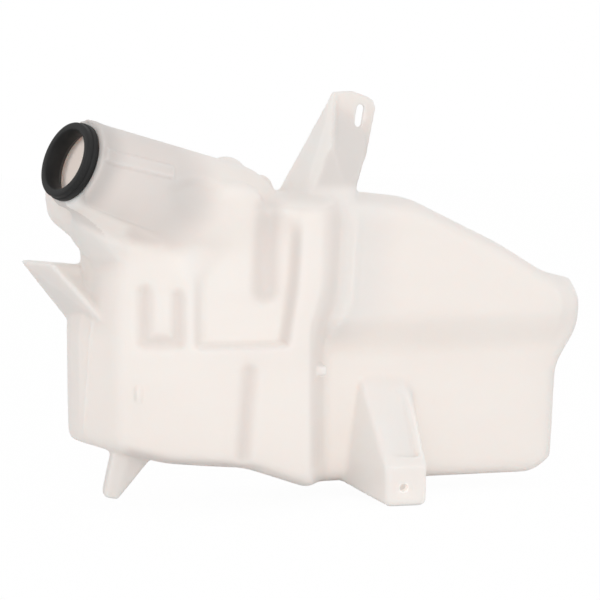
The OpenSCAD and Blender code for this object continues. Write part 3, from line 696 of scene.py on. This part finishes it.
def tones(nt, value, dark, light, ends=(0.0, 1.0)):
    r = nt.nodes.new("ShaderNodeValToRGB")
    for e, colour, at in zip(r.color_ramp.elements, (dark, light), ends):
        e.color, e.position = (*colour, 1), at
    nt.links.new(value, r.inputs["Fac"])
    return r.outputs["Color"]


def spread(nt, value, low, high, to):
    m = nt.nodes.new("ShaderNodeMapRange")
    m.inputs["To Min"].default_value, m.inputs["To Max"].default_value = low, high
    nt.links.new(value, m.inputs["Value"])
    nt.links.new(m.outputs["Result"], to)


def grain(nt, value, strength, distance, to):
    b = nt.nodes.new("ShaderNodeBump")
    b.inputs["Strength"].default_value, b.inputs["Distance"].default_value = strength, distance
    nt.links.new(value, b.inputs["Height"])
    nt.links.new(b.outputs["Normal"], to)


def material(name):
    mat = bpy.data.materials.new(name)
    mat.use_nodes = True
    return mat, mat.node_tree, mat.node_tree.nodes["Principled BSDF"].inputs


def plastic():
    """Warm white blown polyethylene, a little translucent: soft flow marks, a satin skin and a fine orange
    peel. Painted shade darkens its colour in places, and a painted glow lights its inside a little."""
    mat, nt, b = material("blown_polyethylene")
    b["IOR"].default_value = 1.5
    b["Subsurface Weight"].default_value = 1.0
    b["Subsurface Radius"].default_value = (1, 0.88, 0.84)
    b["Subsurface Scale"].default_value = 0.005
    tint = tones(nt, noise(nt, 9, 3, (0.5, 1, 1.4)), (0.90, 0.855, 0.82), (0.93, 0.888, 0.856), (0.3, 0.75))
    # Painted shade: the attribute darkens the base colour towards this dim warm grey
    painted_shade, mix = nt.nodes.new("ShaderNodeAttribute"), nt.nodes.new("ShaderNodeMix")
    painted_shade.attribute_name, mix.data_type, mix.blend_type = "painted_shade", "RGBA", "MULTIPLY"
    nt.links.new(painted_shade.outputs["Fac"], mix.inputs["Factor"])
    nt.links.new(tint, mix.inputs["A"])
    mix.inputs["B"].default_value = (0.5, 0.48, 0.475, 1)
    nt.links.new(mix.outputs["Result"], b["Base Color"])
    # Painted light: the marked inside glows through emission
    inner = nt.nodes.new("ShaderNodeAttribute")
    inner.attribute_name = "inner"
    b["Emission Color"].default_value = (1.0, 0.96, 0.93, 1)
    spread(nt, inner.outputs["Fac"], 0, INSIDE_GLOW, b["Emission Strength"])
    spread(nt, noise(nt, 60, 4), 0.36, 0.5, b["Roughness"])
    grain(nt, noise(nt, 420, 3), 0.12, 0.0004, b["Normal"])
    return mat


def rubber():
    """Black moulded rubber with a dull sheen and a fine grain."""
    mat, nt, b = material("black_rubber")
    b["Specular IOR Level"].default_value = 0.35
    n = noise(nt, 700, 4)
    nt.links.new(tones(nt, n, (0.006, 0.006, 0.006), (0.016, 0.016, 0.016)), b["Base Color"])
    spread(nt, n, 0.5, 0.7, b["Roughness"])
    grain(nt, n, 0.1, 0.0002, b["Normal"])
    return mat


def seal():
    """The rubber ring with its rounded flange, its sleeve in the neck and a lip at each end of its bore."""
    r, s = SEAT_R - SEAL_GAP, -SEAT_LEN
    profile = [(PIPE_R + 4.6, s), (r - 0.6, s), (r, s + 0.6), (r, 0), (FLANGE_R - 0.7, 0), (FLANGE_R, 0.7),
               (FLANGE_R, FLANGE_T - 5.4), (FLANGE_R - 0.3, FLANGE_T - 5), (FLANGE_R - 1, FLANGE_T - 4.7),
               (FLANGE_R - 1, FLANGE_T - 1.2), (FLANGE_R - 1.4, FLANGE_T - 0.4), (FLANGE_R - 2.2, FLANGE_T),
               (PIPE_R + 2.2, FLANGE_T), (PIPE_R + 1.4, FLANGE_T - 0.3), (PIPE_R + 1.1, FLANGE_T - 1),
               (PIPE_R, FLANGE_T - 6), (PIPE_R, s + 5.5), (PIPE_R + 0.5, s + 4.8)]
    ob = revolve("filler_seal_ring", profile, TO_NECK, 128)
    ob.data.materials.append(rubber())
    shade(ob, 50)
    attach(ob, "root")
    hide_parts("filler_seal")


def reservoir():
    """The finished tank: hollowed, bored, thinned out, marked and given its material."""
    shell = tank()
    seat = [(0, -SEAT_LEN - 2), (SEAT_R, -SEAT_LEN - 2), (SEAT_R, 6), (0, 6)]
    cut(shell, hollow(), revolve("seat", seat, TO_NECK, 128), slot(), along_y(0, 0, BOLT_R, -4, PAD_T + 4),
        along_y(-PORT_X, PORT_Z, PORT_R, PARTING_Y + 5, PARTING_Y + 70))
    drop_crumbs(shell)
    thin_out(shell, MOST_TRIANGLES)
    shade(shell, 55)
    mark_painted_shade(shell)
    shell.data.materials.clear()
    shell.data.materials.append(plastic())
    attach(shell, "root")
    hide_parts("tank")
    return shell


shell = reservoir()
seal()

# Stage: a pale floor under the lowest point, white where the camera sees it, and a soft white room
FLOOR_SIZE, FLOOR_GLOW, FLOOR_WHITE = 6, 0.95, 1.013
low = min(v.co.z for v in shell.data.vertices)
floor = bpy.data.objects.new("floor", bpy.data.meshes.new("floor"))
corners = ((-1, -1), (1, -1), (1, 1), (-1, 1))
floor.data.from_pydata([(FLOOR_SIZE * x, FLOOR_SIZE * y, low) for x, y in corners], [], [(0, 1, 2, 3)])
scene.collection.objects.link(floor)
mat, nt, b = material("pale_floor")
b["Base Color"].default_value = (0.9, 0.9, 0.9, 1)
b["Roughness"].default_value = 0.9
glow, path, blend = (nt.nodes.new("ShaderNode" + k) for k in ("Emission", "LightPath", "MixShader"))
glow.inputs["Strength"].default_value = FLOOR_WHITE
spread(nt, path.outputs["Is Camera Ray"], 0, FLOOR_GLOW, blend.inputs["Fac"])
nt.links.new(nt.nodes["Principled BSDF"].outputs[0], blend.inputs[1])
nt.links.new(glow.outputs[0], blend.inputs[2])
nt.links.new(blend.outputs[0], nt.nodes["Material Output"].inputs["Surface"])
floor.data.materials.append(mat)

SIDE_LEVEL, TOP_LEVEL = 0.9, 0.65
world = bpy.data.worlds.new("studio")
scene.world = world
world.use_nodes = True
nt = world.node_tree
kinds = ("TexCoord", "SeparateXYZ", "LightPath", "Mix")
sky, split, path, mix = (nt.nodes.new("ShaderNode" + k) for k in kinds)
nt.links.new(sky.outputs["Generated"], split.inputs[0])
spread(nt, split.outputs["Z"], SIDE_LEVEL, TOP_LEVEL, mix.inputs["A"])
mix.inputs["B"].default_value = 1
seen = path.outputs["Is Camera Ray"]
for ray in ("Is Glossy Ray", "Is Transmission Ray"):
    most = nt.nodes.new("ShaderNodeMath")
    most.operation = "MAXIMUM"
    nt.links.new(seen, most.inputs[0])
    nt.links.new(path.outputs[ray], most.inputs[1])
    seen = most.outputs[0]
nt.links.new(seen, mix.inputs["Factor"])
nt.nodes["Background"].inputs["Color"].default_value = (1, 1, 1, 1)
nt.links.new(mix.outputs["Result"], nt.nodes["Background"].inputs["Strength"])

# Camera at the photograph's angle, and one soft lamp in front
TARGET, DISTANCE = Vector((-0.0693, 0.078, 0.1461)), 1.7
AZIMUTH, ELEVATION, FOCAL_PIXELS, IMAGE_PIXELS = math.radians(-12), math.radians(6), 2048.2, 600
BACK = Vector((math.sin(AZIMUTH) * math.cos(ELEVATION), -math.cos(AZIMUTH) * math.cos(ELEVATION),
               math.sin(ELEVATION)))
KEY_POWER, KEY_SIZE, KEY_SPOT = 11.6, 1.6, (-0.25, -2.3, 0.7)


def lamp(name, power, size, spot):
    data = bpy.data.lights.new(name, "AREA")
    data.energy, data.size = power, size
    ob = bpy.data.objects.new(name, data)
    ob.location = spot
    ob.rotation_euler = (TARGET - Vector(spot)).to_track_quat("-Z", "Y").to_euler()
    scene.collection.objects.link(ob)


lamp("key", KEY_POWER, KEY_SIZE, KEY_SPOT)

cam = bpy.data.cameras.new("camera")
cam.sensor_width, cam.lens = 36, 36 * FOCAL_PIXELS / IMAGE_PIXELS
cam.clip_start, cam.clip_end = 0.05, 50
camera = bpy.data.objects.new("camera", cam)
camera.location = TARGET + DISTANCE * BACK
camera.rotation_euler = (-BACK).to_track_quat("-Z", "Y").to_euler()
scene.collection.objects.link(camera)
scene.camera = camera
scene.view_settings.view_transform = "Standard"
